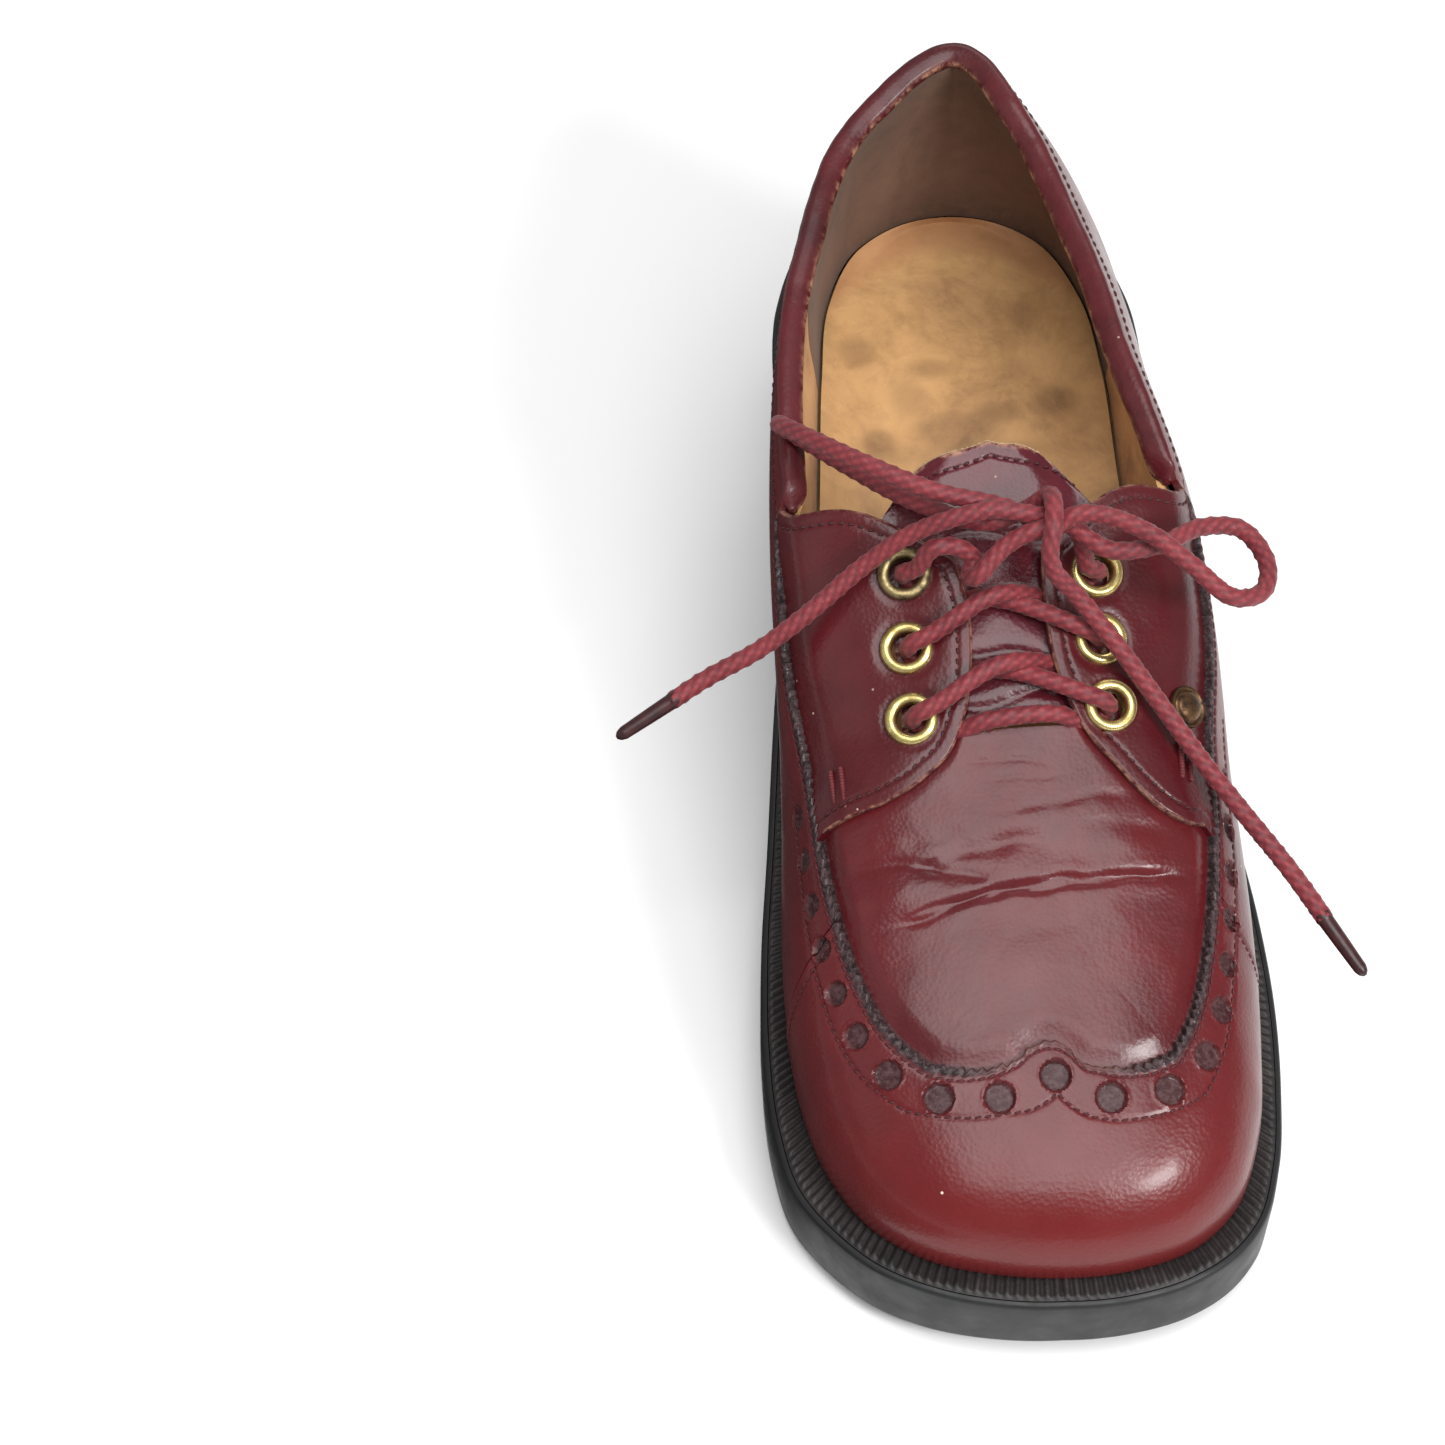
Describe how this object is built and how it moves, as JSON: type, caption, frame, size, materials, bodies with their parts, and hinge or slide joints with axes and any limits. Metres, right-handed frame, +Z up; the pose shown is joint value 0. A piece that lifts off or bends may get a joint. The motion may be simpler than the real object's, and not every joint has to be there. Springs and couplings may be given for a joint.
{
  "type": "laced leather shoe",
  "caption": "Laced leather shoe for a right foot: apron front with a punched wing band, open facings tied with a round cord in a bow, ribbed welt and a block heel.",
  "frame": {"origin": "centre of the sole's box on the ground under the shoe, measured without the lace", "axes": "+Z up, +Y from toe to heel, +X towards the inner (medial) side of the foot"},
  "size_m": [0.127, 0.259, 0.1079],
  "materials": {
    "burgundy_leather": "glossy polished",
    "black_sole": "moulded, semi-matt",
    "black_heel": "black covered heel block",
    "black_top_piece": "matt",
    "black_welt": "ribbed, black",
    "insole_fibre": "fibre board",
    "tan_sock": "worn, stained",
    "tan_lining": "matt",
    "grip_lining": "brushed suede",
    "stiffener": "impregnated cloth",
    "steel": "plain",
    "eyelet_brass": "worn pale brass",
    "stud_brass": "polished",
    "lace_cord": "waxed round braid",
    "aglet_wax": "dark wrapped tip"
  },
  "bodies": {
    "shoe": {"outsole": "black_sole", "welt_strip": "black_welt", "insole_board": "insole_fibre", "shank": "steel", "sock_lining": "tan_sock", "heel_block": "black_heel", "heel_top_piece": "black_top_piece", "heel_screw": "steel", "top_piece_pin_1": "steel", "top_piece_pin_2": "steel", "toe_mudguard": "burgundy_leather", "vamp_apron": "burgundy_leather", "quarter_medial": "burgundy_leather", "quarter_lateral": "burgundy_leather", "topline_binding": "burgundy_leather", "facing_medial": "burgundy_leather", "facing_lateral": "burgundy_leather", "toe_puff": "stiffener", "heel_counter": "stiffener", "vamp_lining": "tan_lining", "quarter_lining_medial": "tan_lining", "quarter_lining_lateral": "tan_lining", "heel_grip_lining": "grip_lining", "side_stud": "stud_brass", "eyelet_medial_1": "eyelet_brass", "eyelet_medial_2": "eyelet_brass", "eyelet_medial_3": "eyelet_brass", "eyelet_lateral_1": "eyelet_brass", "eyelet_lateral_2": "eyelet_brass", "eyelet_lateral_3": "eyelet_brass", "lace_bar": "lace_cord", "lace_cross_1": "lace_cord", "lace_cross_2": "lace_cord", "lace_cross_3": "lace_cord", "lace_cross_4": "lace_cord", "lace_rise_medial": "lace_cord", "lace_rise_lateral": "lace_cord", "lace_knot": "lace_cord", "lace_loop_medial": "lace_cord", "lace_loop_lateral": "lace_cord", "lace_end_medial": "lace_cord", "lace_end_lateral": "lace_cord", "aglet_medial": "aglet_wax", "aglet_lateral": "aglet_wax"},
    "tongue_flap": {"tongue": "burgundy_leather"}
  },
  "joints": [
    {"name": "tongue_bend", "type": "hinge", "parent": "shoe", "child": "tongue_flap", "pos_m": [-0.0012, -0.0305, 0.0722], "axis": [-1, 0, 0], "range_deg": [0, 12], "stiffness_Nm_per_rad": 0.15}
  ]
}
